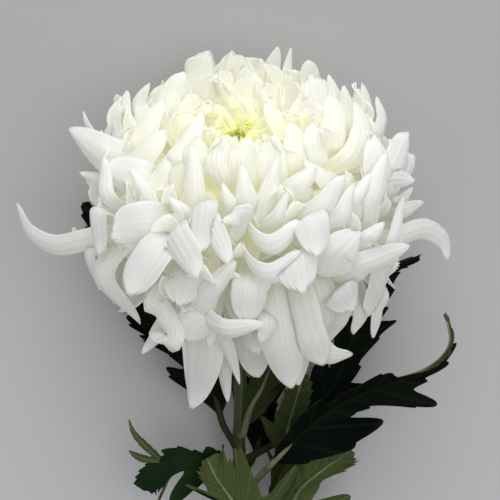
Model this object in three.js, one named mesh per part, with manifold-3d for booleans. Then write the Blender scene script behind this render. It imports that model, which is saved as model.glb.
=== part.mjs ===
// A cut pompon chrysanthemum lying on a table: one big white bloom on a short leafy stem.
// Lengths are in millimetres and angles in degrees. The table is z = 0 and the origin lies on it, under
// the middle of the whole flower. The stem runs along Y and the bloom looks along +Y and partly up.
import * as THREE from "three";
import { mergeVertices } from "three/addons/utils/BufferGeometryUtils.js";
import Module from "manifold-3d";

const wasm = await Module();
wasm.setup();

// ---------------------------------------------------------------- driving dimensions

const HEART = new THREE.Vector3(3.4, 119, 41); // centre of the receptacle, which every floret grows from
const STEM_SLOPE = 6.5; // the stem rises this much towards the bloom
const NOD = 24; // the bloom faces this much further up than the stem
const GAP = 0.3; // between pieces that touch

const RECEPTACLE = 13; // radius of the dome that the florets stand on
const FLORETS = 184; // in the spiral
const GOLDEN_ANGLE = 137.508;
const FLORET_THICKNESS = 1.2;

// How florets grow from the youngest, rank 0 at the heart, to the oldest, rank 1 under the bloom.
// seat is where one stands on the dome, reach and height are where its tip comes, from and along the
// axis, and start and tip are its directions there: 0 up the axis, 90 out, 180 down, below 0 inwards.
// roll is how far round its section curls, as an arc, and hang is how far it hangs as it grew.
const HABITS = [
  { rank: 0.0, seat: 12, reach: 12, height: 42, start: 10, tip: -60, width: 6.5, roll: 120, hang: 0 },
  { rank: 0.05, seat: 25, reach: 20, height: 49, start: 18, tip: -55, width: 8.5, roll: 110, hang: 0 },
  { rank: 0.14, seat: 40, reach: 32, height: 49, start: 30, tip: -35, width: 9.5, roll: 100, hang: 0 },
  { rank: 0.28, seat: 55, reach: 47, height: 40, start: 50, tip: -10, width: 10, roll: 115, hang: 0 },
  { rank: 0.45, seat: 70, reach: 58, height: 24, start: 70, tip: 10, width: 10, roll: 125, hang: 0.05 },
  { rank: 0.65, seat: 86, reach: 64, height: 2, start: 88, tip: 55, width: 11, roll: 120, hang: 0.2 },
  { rank: 0.84, seat: 98, reach: 59, height: -32, start: 96, tip: 140, width: 13, roll: 80, hang: 0.4 },
  { rank: 1.0, seat: 112, reach: 48, height: -62, start: 102, tip: 172, width: 14, roll: 55, hang: 0.45 },
];

// Florets placed one by one: the two long ones that stray out of the bloom at its sides, and the old
// ones that hang over its stem. sway turns the tip round the axis and twist turns it about itself.
const OLD_SEAT = { seatReach: 12, seatHeight: -5 };
const STRAYS = [
  { azimuth: 182, reach: 86, height: 1, start: 122, tip: 38, width: 9.5, sway: -3, twist: 10 },
  { azimuth: -2, reach: 79, height: -20, start: 92, tip: 172, width: 10.5, sway: 4, twist: -15 },
].map((stray) => ({ rank: 0.9, hang: 0.5, roll: 110, ...OLD_SEAT, ...stray }));
const HANGING = [
  { azimuth: 146, reach: 55, height: -23, start: 96, tip: 150, width: 15, sway: 2, twist: 15 },
  { azimuth: 138, reach: 52, height: -36, start: 98, tip: 190, width: 12, sway: -4, twist: 20 },
  { azimuth: 124, reach: 50, height: -42, start: 100, tip: 165, width: 12, sway: 2, twist: -25 },
  { azimuth: 110, reach: 50, height: -62, start: 104, tip: 172, width: 15, sway: 1, twist: 8 },
  { azimuth: 99, reach: 43, height: -59, start: 110, tip: 175, width: 12, sway: 1, twist: -5 },
  { azimuth: 96, reach: 54, height: -30, start: 96, tip: 120, width: 11, sway: -14, twist: 10 },
  { azimuth: 75, reach: 50, height: -54, start: 102, tip: 175, width: 16, sway: 0, twist: 5 },
  { azimuth: 64, reach: 44, height: -52, start: 108, tip: 170, width: 12, sway: 0, twist: 0 },
  { azimuth: 52, reach: 51, height: -46, start: 98, tip: 150, width: 14, sway: -8, twist: -10 },
  { azimuth: 22, reach: 50, height: -46, start: 100, tip: 170, width: 12, sway: -2, twist: 10 },
  { azimuth: 2, reach: 57, height: -38, start: 98, tip: 160, width: 12, sway: 2, twist: 12 },
].map((old) => ({ rank: 1, hang: 1, roll: 62, ...OLD_SEAT, ...old }));

// The hidden core that the florets stand out of, as [radius, height] points of its profile.
const CORE = [
  [0, -11],
  [12, -11],
  [23, -12],
  [32, -9],
  [36, 2],
  [35, 13],
  [29, 24],
  [18, 33],
  [9, 35],
  [0, 35],
];
const WELL = { radius: 9.3, bottom: 24, top: 41 }; // the bowl that the young florets stand in
const YOUNG_FLORETS = 22;

const STEM = { length: 298, radius: 2.6, ridges: 5, ridge: 0.35, aside: -3, endHeight: 2.35 };
const BEND = { low: 170, rise: 15.5, high: 45 }; // how far the stem runs straight from its two ends
const CUP = { top: -11 - GAP, radius: 12, height: 8 }; // the green receptacle below the florets
const BRACTS = 13;
const BRACT = [
  { radius: 5, below: 8, half: 1.4, thickness: 2 },
  { radius: 9.5, below: 4, half: 2.6, thickness: 2 },
  { radius: 13.5, below: 3, half: 2.2, thickness: 1.4 },
]; // its sections, from its foot, by how far below the receptacle's top they are
const BRACT_TIP = { radius: 16.5, below: 4 };

// Leaves in the stem's own frame: x to the right, then along the stem up to the bloom, then away from
// the table. root is the share of the stem below the leaf stalk, and way the places that stalk and midrib
// run through. half is how far the lobes reach to the left and right of the midrib, tip what is left of
// that where the last lobe has rolled in, forward how far the lobes point to the tip, fold how steeply the
// two halves stand up, and face how far the upper side is turned about the midrib, at the blade's foot,
// middle and tip.
const LEAVES = [
  {
    root: 0.595,
    way: [[20, -95, 6], [37, -80, 6], [55, -70, 9], [71, -62, 12], [77, -49, 20], [74, -35, 24]],
    half: [12, 27],
    face: [-10, -6, 120],
    fold: [30, 2],
    tip: 0.45,
  },
  {
    root: 0.65,
    way: [[22, -100, -16], [36, -82, -18], [43, -63, -19], [50, -46, -19], [57, -32, -17], [69, -25, -14]],
    half: [21, 22],
    face: [0, 0, 60],
    forward: 1.1,
  },
  {
    root: 0.55,
    way: [[16, -124, -8], [17, -98, -7], [19, -88, -6], [23, -71, -4]],
    half: [20, 19],
    face: [172, 176, 185],
    forward: 0.9,
  },
  {
    root: 0.535,
    way: [[15, -132, -2], [22, -119, 1], [29, -111, 3], [42, -101, 2]],
    half: [25, 24],
    face: [175, 178, 180],
  },
  {
    root: 0.625,
    way: [[-8, -113, -6], [-16, -106, 0], [-26, -103, 4], [-37, -109, 2], [-44, -120, -3]],
    half: [31, 9],
    forward: 0.7,
  },
  {
    root: 0.67,
    way: [[-9, -98, -14], [-13, -86, -17], [-26, -66, -18], [-38, -53, -19], [-50, -43, -19]],
    half: [17, 16],
  },
  { root: 0.77, way: [[-23, -69, -24], [-47, -44, -32], [-65, -9, -33]], half: [15, 15], face: [20, 20, 20] },
  {
    root: 0.63,
    way: [[3, -116, -20], [7, -103, -24], [8, -86, -28], [9, -68, -32]],
    half: [17, 19],
    forward: 1,
  },
  {
    root: 0.51,
    way: [[0, -132, 3], [-5, -120, 9], [-11, -110, 10], [-15, -103, 6]],
    half: [30, 22],
    face: [180, 180, 180],
  },
  {
    root: 0.7,
    way: [[-1, -101, -11], [2, -90, -13], [7, -81, -15], [12, -69, -20]],
    half: [13, 13],
    face: [175, 180, 180],
  },
];
const LEAF_HABIT = { face: [0, 0, 0], fold: [12, 12], tip: 1, forward: 1.5 };
const TEETH = 11; // on each side of a leaf
const LOBES = [
  { from: 0, to: 0.28, reach: 1 },
  { from: 0.28, to: 0.56, reach: 0.76 },
  { from: 0.56, to: 1, reach: 0.32 },
]; // the lobes on each side of a blade, along it, and how far they reach out
const WEB = 0.3; // how far out the cuts between the lobes end
const LEAF_STALK = { share: 0.24, half: 1.1, stations: 4 };
const LEAF = { thickness: 0.8, midrib: 1.7 };

// ---------------------------------------------------------------- numbers and directions

const { PI, abs, sin, cos, exp, log, min, max, sqrt } = Math;
const rad = (degrees) => (degrees * PI) / 180;
const mix = (a, b, share) => a + (b - a) * share;
const smooth = (x) => min(1, max(0, x)) ** 2 * (3 - 2 * min(1, max(0, x)));
const vec = (x = 0, y = 0, z = 0) => new THREE.Vector3(x, y, z);
const times = (count, make) => Array.from({ length: count }, (_, k) => make(k));

// A repeatable draw from 0 to 1 for one piece, and the same spread evenly round 0.
function draw(piece, kind) {
  const x = sin(piece * 12.9898 + kind * 78.233) * 43758.5453;
  return x - Math.floor(x);
}
const spread = (piece, kind, most) => (2 * draw(piece, kind) - 1) * most;

const RIGHT = vec(1, 0, 0);
const risen = (angle) => vec(0, cos(rad(angle)), sin(rad(angle)));
const STEM_WAY = risen(STEM_SLOPE);
const AWAY = vec().crossVectors(RIGHT, STEM_WAY);
const AXIS = risen(STEM_SLOPE + NOD);

// A point from where it lies right of the heart, along the stem and away from the table.
const byStem = (right, along, away) =>
  HEART.clone()
    .addScaledVector(RIGHT, right)
    .addScaledVector(STEM_WAY, along)
    .addScaledVector(AWAY, away);

// The frame that a ring of florets is level in. The oldest hang as they grew, level round the stem.
function ringFrame(hang) {
  const axis = AXIS.clone().lerp(STEM_WAY, hang).normalize();
  return { axis, front: vec().crossVectors(RIGHT, axis) };
}

// A direction in a ring's frame: lean 0 is up its axis and 90 straight out, at an azimuth that is 0 on
// the right and 90 on the side away from the table.
function leaning({ axis, front }, lean, azimuth) {
  return vec()
    .addScaledVector(axis, cos(rad(lean)))
    .addScaledVector(RIGHT, sin(rad(lean)) * cos(rad(azimuth)))
    .addScaledVector(front, sin(rad(lean)) * sin(rad(azimuth)));
}

// A point from its distance to the axis and its height along it.
const ringPoint = (frame, radius, height, azimuth) =>
  HEART.clone()
    .addScaledVector(leaning(frame, 90, azimuth), radius)
    .addScaledVector(frame.axis, height);

// ---------------------------------------------------------------- solids

// One solid from its corners and its triangles, which are turned to face out.
function solidFrom(corners, triangles) {
  const volume = triangles.reduce(
    (sum, [a, b, c]) => sum + corners[a].dot(vec().crossVectors(corners[b], corners[c])),
    0,
  );
  const facingOut = volume > 0 ? triangles : triangles.map(([a, b, c]) => [a, c, b]);
  const vertProperties = new Float32Array(corners.flatMap((corner) => corner.toArray()));
  const triVerts = new Uint32Array(facingOut.flat());
  return new wasm.Manifold(new wasm.Mesh({ numProp: 3, vertProperties, triVerts }));
}

function solidOf(geometry) {
  geometry.deleteAttribute("normal");
  geometry.deleteAttribute("uv");
  const merged = mergeVertices(geometry);
  const at = merged.getAttribute("position");
  const corners = times(at.count, (k) => vec().fromBufferAttribute(at, k));
  const triangles = times(merged.index.count / 3, (t) => [...merged.index.array.slice(3 * t, 3 * t + 3)]);
  return solidFrom(corners, triangles.filter(([a, b, c]) => a !== b && b !== c && c !== a));
}

// Joins rings of corners into one closed skin. The last ring may be a single corner, a tip.
function loft(rings) {
  const count = rings[0].length;
  const cap = (first) => times(count - 2, (j) => [first, first + j + 1, first + j + 2]);
  const triangles = cap(0).map(([a, b, c]) => [a, c, b]);
  rings.slice(1).forEach((ring, k) => {
    for (let j = 0; j < count; j++) {
      const [a, b] = [k * count + j, k * count + ((j + 1) % count)];
      if (ring.length === 1) triangles.push([a, b, (k + 1) * count]);
      else triangles.push([a, b, b + count], [a, b + count, a + count]);
    }
  });
  if (rings.at(-1).length > 1) triangles.push(...cap((rings.length - 1) * count));
  return solidFrom(rings.flat(), triangles);
}

// A solid turned round the bloom's axis from [radius, height] points that start and end on it.
const TURNED_SIDES = 20;
function turned(profile) {
  const outline = profile.map(([radius, height]) => new THREE.Vector2(radius, height));
  const { axis, front } = ringFrame(0);
  const place = new THREE.Matrix4().makeBasis(front, axis, RIGHT).setPosition(HEART);
  return solidOf(new THREE.LatheGeometry(outline, TURNED_SIDES).applyMatrix4(place));
}

const drum = (radius, bottom, top) =>
  turned([
    [0, bottom],
    [radius, bottom],
    [radius, top],
    [0, top],
  ]);

const TABLE = { side: 800, depth: 60 };
const tableBlock = solidOf(
  new THREE.BoxGeometry(TABLE.side, TABLE.side, TABLE.depth).translate(0, 0, -TABLE.depth / 2),
);

// Where a point comes to lie once the table holds it up, never under `lowest` and lifted softly.
const TABLE_SOFTNESS = 2;
function onTable(point, lowest) {
  const over = (point.z - lowest) / TABLE_SOFTNESS;
  point.z = over > 30 ? point.z : lowest + TABLE_SOFTNESS * log(1 + exp(over));
  return point;
}

// The outer skin of a joined solid: sealed hollows between its pieces are filled and scraps dropped.
function outerSkin({ vertProperties, triVerts }) {
  const group = times(vertProperties.length / 3, (k) => k);
  const rootOf = (k) => {
    while (group[k] !== k) k = group[k] = group[group[k]];
    return k;
  };
  const corner = (k) => vec().fromArray(vertProperties, 3 * triVerts[k]);
  for (let k = 0; k < triVerts.length; k += 3) {
    group[rootOf(triVerts[k])] = rootOf(triVerts[k + 1]);
    group[rootOf(triVerts[k + 1])] = rootOf(triVerts[k + 2]);
  }
  const volumes = new Map();
  for (let k = 0; k < triVerts.length; k += 3) {
    const volume = corner(k).dot(corner(k + 1).cross(corner(k + 2)));
    volumes.set(rootOf(triVerts[k]), (volumes.get(rootOf(triVerts[k])) ?? 0) + volume);
  }
  const [largest] = [...volumes].reduce((best, next) => (next[1] > best[1] ? next : best));
  return triVerts.filter((_, k) => rootOf(triVerts[k - (k % 3)]) === largest);
}

function meshOf(name, solid, color) {
  const joined = solid.getMesh();
  const geometry = new THREE.BufferGeometry()
    .setAttribute("position", new THREE.BufferAttribute(new Float32Array(joined.vertProperties), 3))
    .setIndex(new THREE.BufferAttribute(outerSkin(joined), 1));
  geometry.computeVertexNormals();
  const mesh = new THREE.Mesh(geometry, new THREE.MeshStandardMaterial({ color, roughness: 0.6 }));
  mesh.name = name;
  return mesh;
}

// ---------------------------------------------------------------- ray florets

function habitAt(rank) {
  const above = max(1, HABITS.findIndex((habit) => habit.rank >= rank));
  const [a, b] = [HABITS[above - 1], HABITS[above]];
  const share = (rank - a.rank) / (b.rank - a.rank);
  return Object.fromEntries(Object.keys(a).map((key) => [key, mix(a[key], b[key], share)]));
}

// One floret of the spiral, with its own small differences. Older ones are looser.
function spiralFloret(i) {
  const f = habitAt((i + 0.5) / FLORETS);
  const loose = smooth((f.rank - 0.15) / 0.5);
  const length = 1 + spread(i, 2, 0.04 + 0.08 * loose);
  f.azimuth = i * GOLDEN_ANGLE + spread(i, 1, 5);
  f.reach *= length;
  f.height = f.height * length + spread(i, 4, 2 + 4 * loose);
  f.width *= 1 + spread(i, 3, 0.14);
  f.tip += spread(i, 5, 12 + 38 * loose);
  f.sway = spread(i, 6, 4 + 14 * loose);
  f.twist = spread(i, 7, 8 + 34 * loose);
  f.roll *= 1 + spread(i, 8, 0.3);
  f.seatReach = RECEPTACLE * sin(rad(f.seat));
  f.seatHeight = RECEPTACLE * cos(rad(f.seat));
  return f;
}

// Away from the table, the hanging florets take the place of the spiral's oldest.
const hangingTakesOver = ({ rank, azimuth }) => rank > 0.86 && sin(rad(azimuth)) > -0.1;

// A floret's midline, a curve from its seat to its tip, and the direction across the floret.
const SPINE_STEPS = 24;
function spineOf(f) {
  const frame = ringFrame(f.hang);
  const seat = ringPoint(ringFrame(0), f.seatReach, f.seatHeight, f.azimuth);
  const tip = ringPoint(frame, f.reach, f.height, f.azimuth + f.sway);
  const length = seat.distanceTo(tip);
  const leave = seat.clone().addScaledVector(leaning(ringFrame(0), f.start, f.azimuth), 0.4 * length);
  const arrive = tip.clone().addScaledVector(leaning(frame, f.tip, f.azimuth + 2 * f.sway), -0.36 * length);
  const curve = new THREE.CubicBezierCurve3(seat, leave, arrive, tip);
  return { points: curve.getSpacedPoints(SPINE_STEPS), side: leaning(frame, 90, f.azimuth + 90) };
}

// A floret's width along its length, as a share of its widest: a narrow foot and a rounded tip.
function floretWidth(s) {
  const foot = mix(0.4, 1, smooth(s / 0.6));
  const round = sqrt(1 - (max(0, s - 0.72) / 0.3) ** 2);
  return foot * round;
}

// The steps that florets are lofted through, from where they leave the core: the oldest show their feet.
const RINGS = [
  { upTo: 0.4, steps: [10, 17, 22] },
  { upTo: 0.74, steps: [9, 15, 20, 23] },
  { upTo: 1, steps: [4, 12, 18, 22] },
];

// A channelled blade: two edges raised by its roll, and a top and a bottom along its middle.
function floretSolid(f) {
  const lowest = mix(3.6, -0.2, f.rank);
  const { points, side } = spineOf(f);
  const { steps } = RINGS.find(({ upTo }) => f.rank <= upTo);
  const rings = steps.map((k) => {
    const s = k / SPINE_STEPS;
    const along = points[k + 1].clone().sub(points[k - 1]).normalize();
    const across = side.clone().addScaledVector(along, -side.dot(along)).normalize();
    across.applyAxisAngle(along, rad(f.twist) * s);
    const inward = vec().crossVectors(along, across);
    const half = rad(f.roll * mix(0.8, 1.1, s)) / 2;
    const arc = (f.width * floretWidth(s)) / 2 / half;
    const edge = (way) => points[k].clone().addScaledVector(across, way * arc * sin(half));
    const [left, right] = [-1, 1].map((way) =>
      onTable(edge(way).addScaledVector(inward, arc * (1 - cos(half))), lowest),
    );
    const middle = onTable(points[k].clone(), lowest);
    const lift = vec().crossVectors(along, right.clone().sub(left)).normalize();
    const [top, bottom] = [0.5, -0.5].map((share) =>
      middle.clone().addScaledVector(lift, share * FLORET_THICKNESS),
    );
    return [left, top, right, bottom];
  });
  return loft([...rings, [onTable(points[SPINE_STEPS].clone(), lowest)]]);
}

function bloom() {
  const spiral = times(FLORETS, spiralFloret).filter((floret) => !hangingTakesOver(floret));
  const florets = [...spiral, ...STRAYS, ...HANGING].map(floretSolid);
  return wasm.Manifold.union([turned(CORE), ...florets])
    .subtract(drum(WELL.radius, WELL.bottom, WELL.top))
    .subtract(tableBlock);
}

// ---------------------------------------------------------------- young florets at the heart

function youngFloret(i) {
  const out = sqrt((i + 0.5) / YOUNG_FLORETS);
  return {
    rank: 0,
    hang: 0,
    azimuth: i * GOLDEN_ANGLE,
    seatReach: 7.4 * out,
    seatHeight: WELL.bottom + 2,
    reach: 6.6 * out,
    height: 36.5 + 4 * out ** 2 + spread(i, 11, 0.6),
    start: 5 + 12 * out,
    tip: -70 * out,
    width: 3.6 + 1.2 * out,
    roll: 130,
    sway: spread(i, 12, 12),
    twist: spread(i, 13, 20),
  };
}

function centreFlorets() {
  const bottom = WELL.bottom + GAP;
  const radius = WELL.radius - GAP;
  const bed = drum(radius, bottom, bottom + 9);
  const florets = times(YOUNG_FLORETS, youngFloret).map(floretSolid);
  return wasm.Manifold.union([bed, ...florets]).intersect(drum(radius, bottom, WELL.top - GAP));
}

// ---------------------------------------------------------------- stem

const stemTop = ringPoint(ringFrame(0), 0, CUP.top - CUP.height + 1, 0);
const stemEnd = vec(HEART.x + STEM.aside, HEART.y - STEM.length, STEM.endHeight);
const stemPath = new THREE.CubicBezierCurve3(
  stemEnd,
  stemEnd.clone().add(vec(0, BEND.low, BEND.rise)),
  stemTop.clone().addScaledVector(AXIS, -BEND.high).setX(stemEnd.x),
  stemTop,
);

// A bar along the stem. radiusAt gives the distance of each of its corners from the stem's middle.
const STEM_STEPS = 24;
function alongStem(corners, radiusAt) {
  const rings = stemPath.getSpacedPoints(STEM_STEPS).map((middle, k, all) => {
    const along = (all[k + 1] ?? middle).clone().sub(all[k - 1] ?? middle).normalize();
    const front = vec().crossVectors(RIGHT, along).normalize();
    const right = vec().crossVectors(along, front);
    return times(corners, (j) => {
      const angle = (2 * PI * (j + 0.5)) / corners;
      return middle
        .clone()
        .addScaledVector(right, radiusAt(j) * cos(angle))
        .addScaledVector(front, radiusAt(j) * sin(angle));
    });
  });
  return loft(rings);
}

const ridgedStem = () => alongStem(2 * STEM.ridges, (j) => STEM.radius - (j % 2) * STEM.ridge);
const SLEEVE_SIDES = 12;
const stemSleeve = alongStem(SLEEVE_SIDES, () => (STEM.radius + GAP) / cos(PI / SLEEVE_SIDES));

const cup = () =>
  turned([
    [0, CUP.top - CUP.height],
    [3.2, CUP.top - CUP.height],
    [8, CUP.top - 0.6 * CUP.height],
    [CUP.radius, CUP.top - 1.5],
    [CUP.radius, CUP.top],
    [0, CUP.top],
  ]);

// A green bract that holds the florets from below, pressed to the receptacle.
function bract(i) {
  const azimuth = i * GOLDEN_ANGLE;
  const top = CUP.top - 1.5 * draw(i, 21);
  const place = (radius, below, turn) => ringPoint(ringFrame(0), radius, top - below, azimuth + turn);
  const rings = BRACT.map(({ radius, below, half, thickness }) => {
    const turn = ((half / radius) * 180) / PI;
    const outer = place(radius + thickness / 2, below, 0);
    const inner = place(radius - thickness / 2, below, 0);
    return [place(radius, below, -turn), outer, place(radius, below, turn), inner];
  });
  return loft([...rings, [place(BRACT_TIP.radius, BRACT_TIP.below, 0)]]);
}

const stem = () =>
  wasm.Manifold.union([ridgedStem(), cup(), ...times(BRACTS, bract)]).subtract(tableBlock);

// ---------------------------------------------------------------- leaves

// Half of a leaf's width along its blade, as a share of its widest: two deep cuts leave three lobes.
function lobed(s) {
  const reaches = LOBES.map(({ from, to, reach }) => {
    const q = min(max((s - from) / (to - from), 0), 1);
    if (to === 1) return q > 0 ? reach * (q + 0.5) ** 0.4 * (1 - q ** 2) ** 0.6 : 0;
    return reach * q ** 0.8 * (1 - q ** 8);
  });
  return max(WEB * sin(PI * s) ** 0.5, ...reaches);
}

// Where a leaf's sections stand along it: a few in its stalk, then one at each tooth and each notch.
// out is how far they reach to the left and right, and ahead how far they point to the tip.
function leafStations({ half, tip, forward }) {
  const stalk = times(LEAF_STALK.stations, (k) => ({
    s: (k / LEAF_STALK.stations) * LEAF_STALK.share,
    along: 0,
    out: [LEAF_STALK.half, LEAF_STALK.half],
    ahead: 0,
  }));
  const blade = times(2 * TEETH, (k) => {
    const along = (k + 0.3) / (2 * TEETH);
    const broad = lobed(along) * mix(1, tip, smooth((along - 0.45) / 0.2)) * (k % 2 ? 1.04 : 0.9);
    const reached = (side) => max(LEAF_STALK.half, half[side] * broad);
    const ahead = forward * mix(0.35, 1, smooth(along / 0.3)) * mix(1, 0.3, smooth((along - 0.7) / 0.3));
    return { s: mix(LEAF_STALK.share, 1, along), along, out: [reached(0), reached(1)], ahead };
  });
  return [...stalk, ...blade];
}

// A leaf with its stalk: a blade folded along its midrib, cut clear of the stem that carries it.
function leafSolid(row) {
  const leaf = { ...LEAF_HABIT, ...row };
  const knots = [stemPath.getPointAt(leaf.root), ...leaf.way.map((place) => byStem(...place))];
  const spine = new THREE.CatmullRomCurve3(knots, false, "catmullrom");
  const lowest = 1;
  const rings = leafStations(leaf).map(({ s, along, out, ahead }) => {
    const tangent = spine.getTangentAt(s);
    const facing = AWAY.clone().addScaledVector(tangent, -AWAY.dot(tangent)).normalize();
    const [first, second] = along < 0.5 ? leaf.face : leaf.face.slice(1);
    facing.applyAxisAngle(tangent, rad(mix(first, second, (2 * along) % 1)));
    const across = vec().crossVectors(tangent, facing);
    const corner = (way, lift) => {
      const side = way < 0 ? 0 : 1;
      const reach = abs(way) * out[side];
      const tilt = rad(leaf.fold[side]) + reach * 0.015;
      const point = spine.getPointAt(s).addScaledVector(across, way * out[side] * cos(tilt));
      point.addScaledVector(tangent, reach * ahead);
      return onTable(point.addScaledVector(facing, reach * sin(tilt) + lift), lowest);
    };
    const [thin, thick] = [LEAF.thickness / 2, LEAF.midrib / 2];
    const above = [corner(-1, thin), corner(0, thick), corner(1, thin)];
    const below = [corner(1, -thin), corner(0, -thick), corner(-1, -thin)];
    return [...above, ...below];
  });
  return loft([...rings, [onTable(spine.getPointAt(1), lowest)]]).subtract(stemSleeve);
}

// ---------------------------------------------------------------- the part

const WHITE = 0xf4f3ea;
const LIME_YELLOW = 0xc8cc52;
const STEM_GREEN = 0x4f5a2c;
const LEAF_GREEN = 0x24331c;

const flower = new THREE.Group();
flower.add(meshOf("bloom", bloom(), WHITE));
flower.add(meshOf("centre_florets", centreFlorets(), LIME_YELLOW));
flower.add(meshOf("stem", stem(), STEM_GREEN));
LEAVES.forEach((leaf, k) => flower.add(meshOf(`leaf_${k + 1}`, leafSolid(leaf), LEAF_GREEN)));

export default flower;
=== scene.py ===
# A cut pompon chrysanthemum on a pale table, put together as it grew: the stem, its leaves, the green
# receptacle, then the florets from the oldest, under the bloom, to the youngest at its heart.
import math
import bpy
import numpy as np
from mathutils import Matrix


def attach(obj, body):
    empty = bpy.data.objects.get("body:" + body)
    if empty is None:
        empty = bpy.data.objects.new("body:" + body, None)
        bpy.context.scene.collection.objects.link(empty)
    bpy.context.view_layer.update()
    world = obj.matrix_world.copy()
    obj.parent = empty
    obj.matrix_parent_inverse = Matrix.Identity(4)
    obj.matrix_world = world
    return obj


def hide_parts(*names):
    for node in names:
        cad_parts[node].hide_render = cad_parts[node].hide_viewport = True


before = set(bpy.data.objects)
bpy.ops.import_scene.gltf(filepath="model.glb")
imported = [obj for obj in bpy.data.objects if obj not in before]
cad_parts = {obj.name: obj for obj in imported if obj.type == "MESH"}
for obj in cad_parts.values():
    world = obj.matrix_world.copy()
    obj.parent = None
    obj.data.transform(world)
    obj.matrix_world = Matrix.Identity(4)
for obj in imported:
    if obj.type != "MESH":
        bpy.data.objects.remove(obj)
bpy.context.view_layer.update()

# ---------------------------------------------------------------- the stem
# A green, woody shoot with five soft ridges, grown upright and cut square. It lies on its cut end and
# rises a little to the bloom, thickened where each leaf stalk joins it, with pale pith inside.

HEART = np.array([3.4, 119.0, 41.0])  # all in millimetres: the middle of the receptacle
RIGHT = np.array([1.0, 0.0, 0.0])


def risen(angle):
    return np.array([0.0, math.cos(math.radians(angle)), math.sin(math.radians(angle))])


STEM_WAY = risen(6.5)
AWAY = np.cross(RIGHT, STEM_WAY)
BLOOM_WAY = risen(30.5)
STEM = {"length": 298, "radius": 2.6, "ridges": 5, "ridge": 0.35, "aside": -3, "end_height": 2.5}
CUP_FOOT = -19.3  # where the stem widens into the receptacle, along the bloom's axis from the heart
LEAF_ROOTS = [0.595, 0.65, 0.55, 0.535, 0.625, 0.67, 0.77, 0.63, 0.51, 0.7]  # as a share of the stem
STEM_LEAVES = [0, 170, 15.5]  # how it leaves its cut end
NOD_LENGTH = 45  # the last stretch of the stem, which turns up with the bloom


def unit(v):
    return v / np.linalg.norm(v, axis=-1, keepdims=True)


def smooth(x):
    x = np.clip(x, 0, 1)
    return x * x * (3 - 2 * x)


def bezier(a, b, c, d):
    t = np.linspace(0, 1, 201)[:, None]
    return (1 - t) ** 3 * a + 3 * (1 - t) ** 2 * t * b + 3 * (1 - t) * t * t * c + t**3 * d


def spaced(curve, at):
    """Points of a finely drawn curve at these shares of its length."""
    steps = np.linalg.norm(np.diff(curve, axis=0), axis=1)
    far = np.concatenate([[0], np.cumsum(steps)]) / steps.sum()
    return np.stack([np.interp(at, far, curve[:, k]) for k in range(3)], axis=-1)


stem_end = np.array([HEART[0] + STEM["aside"], HEART[1] - STEM["length"], STEM["end_height"]])
stem_top = HEART + BLOOM_WAY * (CUP_FOOT + 1)
below_bloom = stem_top - BLOOM_WAY * NOD_LENGTH
below_bloom[0] = stem_end[0]
stem_path = bezier(stem_end, stem_end + STEM_LEAVES, below_bloom, stem_top)


def tube(curve, at, radius, own, sides=48):
    """A closed tube along a curve. radius(share, angle) is in millimetres."""
    middle = spaced(curve, at)
    along = unit(np.gradient(middle, axis=0))
    front = unit(np.cross(RIGHT, along))
    aside = np.cross(along, front)
    angle = np.linspace(0, 2 * math.pi, sides, endpoint=False)
    out = radius(at[:, None], angle[None, :])[:, :, None]
    ring = aside[:, None] * np.cos(angle)[:, None] + front[:, None] * np.sin(angle)[:, None]
    grid = middle[:, None] + ring * out
    count = len(at)
    index = np.arange(count * sides).reshape(count, sides)
    after = np.roll(index, -1, axis=1)
    quads = np.stack([index[:-1], after[:-1], after[1:], index[1:]], axis=-1).reshape(-1, 4)
    corners = np.concatenate([grid.reshape(-1, 3), middle[:1], middle[-1:]])
    ends = [[index[0, j], count * sides, after[0, j], after[0, j]] for j in range(sides)]
    ends += [[index[-1, j], after[-1, j], count * sides + 1, count * sides + 1] for j in range(sides)]
    share = np.concatenate([np.repeat(at, sides), at[:1], at[-1:]])
    turn = np.concatenate([np.tile(angle, count), [0, 0]])
    centre = np.concatenate([np.zeros(count * sides), [1, 1]])
    growth = np.stack([share, turn, centre], axis=-1)
    return {"corners": corners, "quads": np.concatenate([quads, ends]), "growth": growth, "own": own}


def piece(name, parts, paint, slot, *nodes):
    """One object of the scene, from closed skins of quads that are given in millimetres."""
    first = np.cumsum([0] + [len(part["corners"]) for part in parts])
    corners = np.concatenate([part["corners"] for part in parts]) * 0.001
    quads = np.concatenate([part["quads"] + at for part, at in zip(parts, first)])
    faces = [q if q[2] != q[3] else q[:3] for q in quads.tolist()]
    mesh = bpy.data.meshes.new(name)
    mesh.from_pydata(corners.tolist(), [], faces)
    growth = np.concatenate([part["growth"] for part in parts]).astype(np.float32)
    mesh.attributes.new("growth", "FLOAT_VECTOR", "POINT").data.foreach_set("vector", growth.ravel())
    own = np.concatenate([np.full(len(part["corners"]), part["own"]) for part in parts])
    mesh.attributes.new("own", "FLOAT", "POINT").data.foreach_set("value", own.astype(np.float32))
    mesh.shade_smooth()
    mesh.materials.append(paint)
    made = bpy.data.objects.new(name, mesh)
    bpy.context.scene.collection.objects.link(made)
    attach(made, "root")
    if nodes:
        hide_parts(*nodes)


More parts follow.
